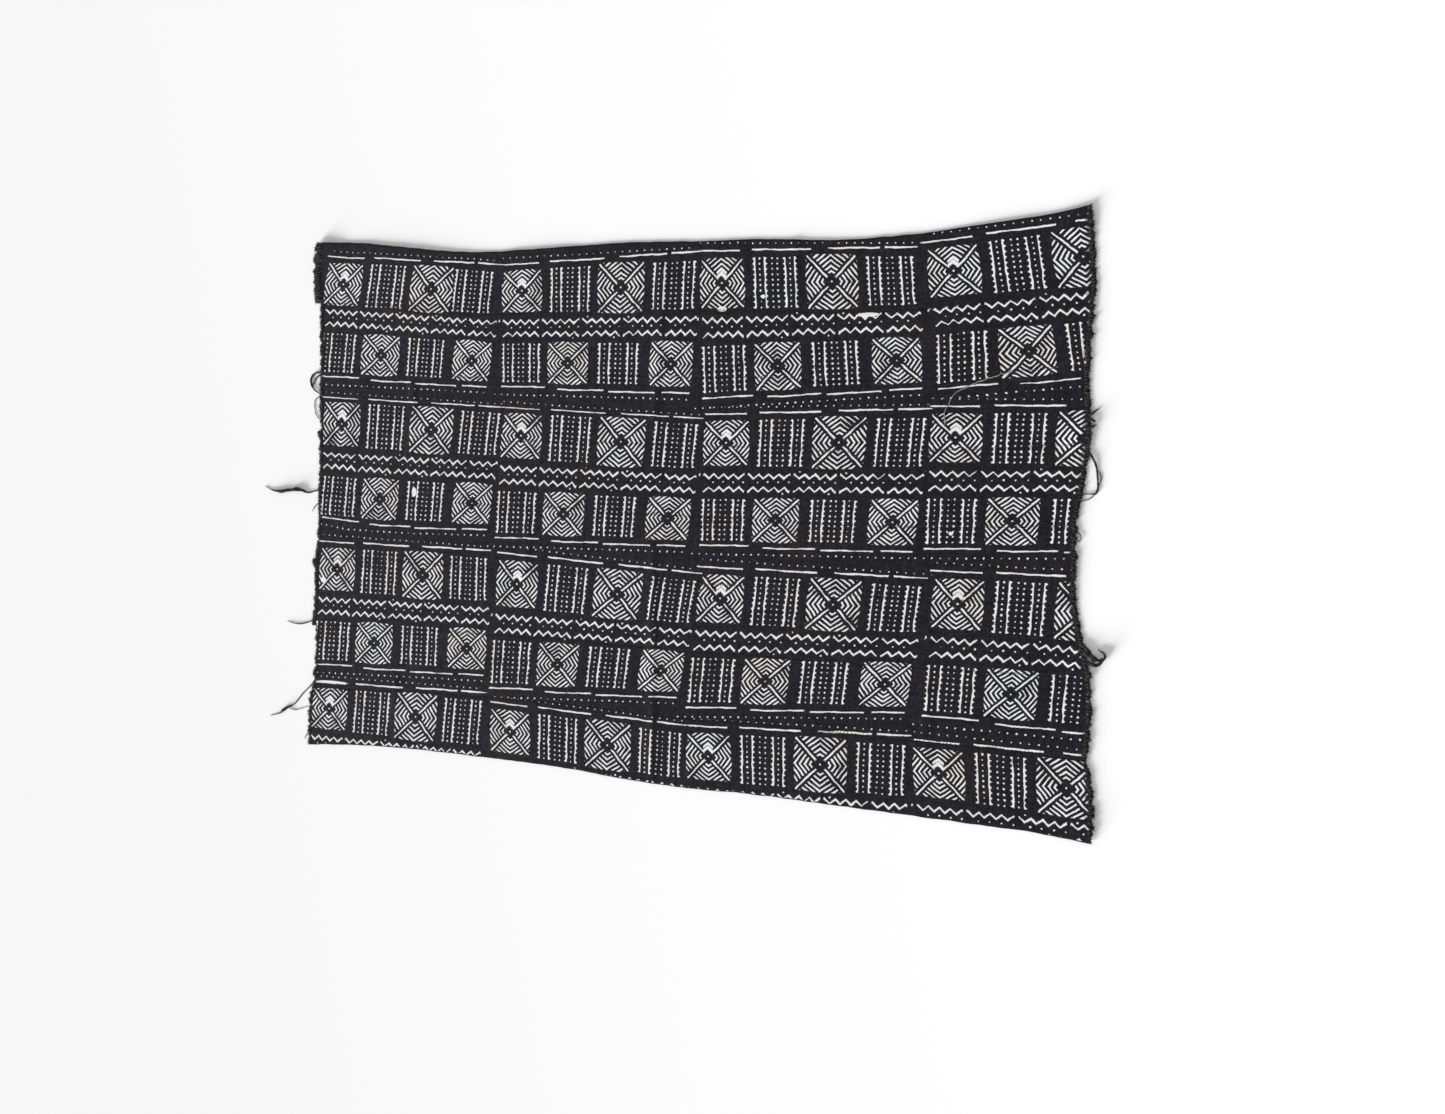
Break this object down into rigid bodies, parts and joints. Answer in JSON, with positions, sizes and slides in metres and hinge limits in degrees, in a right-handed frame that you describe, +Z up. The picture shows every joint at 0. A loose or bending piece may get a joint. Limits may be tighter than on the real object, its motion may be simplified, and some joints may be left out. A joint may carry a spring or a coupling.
{
  "type": "mud cloth",
  "caption": "Flat-lying mud cloth throw of hand-woven cotton strips sewn edge to edge, black with a white stencilled pattern, raw frayed ends and loose threads.",
  "frame": {"origin": "on the floor, under the middle of the cloth's outline with its loose threads", "axes": "+X along the woven strips, +Y across them towards strip 1, +Z up from the floor through the printed face"},
  "size_m": [1.6523, 1.0326, 0.0083],
  "materials": {
    "dyed_handwoven_cotton": "matt hand-woven cotton, dyed bluish black, stencilled in white paint",
    "raw_cotton_end": "frayed raw cotton ends, brownish black fuzz and loose threads",
    "seam_thread": "black cotton sewing thread, slightly paler than the cloth"
  },
  "bodies": {
    "root": {"strip_1": "dyed_handwoven_cotton", "strip_1_left_fray": "raw_cotton_end", "strip_1_right_fray": "raw_cotton_end", "strip_2": "dyed_handwoven_cotton", "strip_2_left_fray": "raw_cotton_end", "strip_2_right_fray": "raw_cotton_end", "strip_3": "dyed_handwoven_cotton", "strip_3_left_fray": "raw_cotton_end", "strip_3_right_fray": "raw_cotton_end", "strip_4": "dyed_handwoven_cotton", "strip_4_left_fray": "raw_cotton_end", "strip_4_right_fray": "raw_cotton_end", "strip_5": "dyed_handwoven_cotton", "strip_5_left_fray": "raw_cotton_end", "strip_5_right_fray": "raw_cotton_end", "strip_6": "dyed_handwoven_cotton", "strip_6_left_fray": "raw_cotton_end", "strip_6_right_fray": "raw_cotton_end", "strip_7": "dyed_handwoven_cotton", "strip_7_left_fray": "raw_cotton_end", "strip_7_right_fray": "raw_cotton_end", "strip_8": "dyed_handwoven_cotton", "strip_8_left_fray": "raw_cotton_end", "strip_8_right_fray": "raw_cotton_end"}
  },
  "joints": []
}
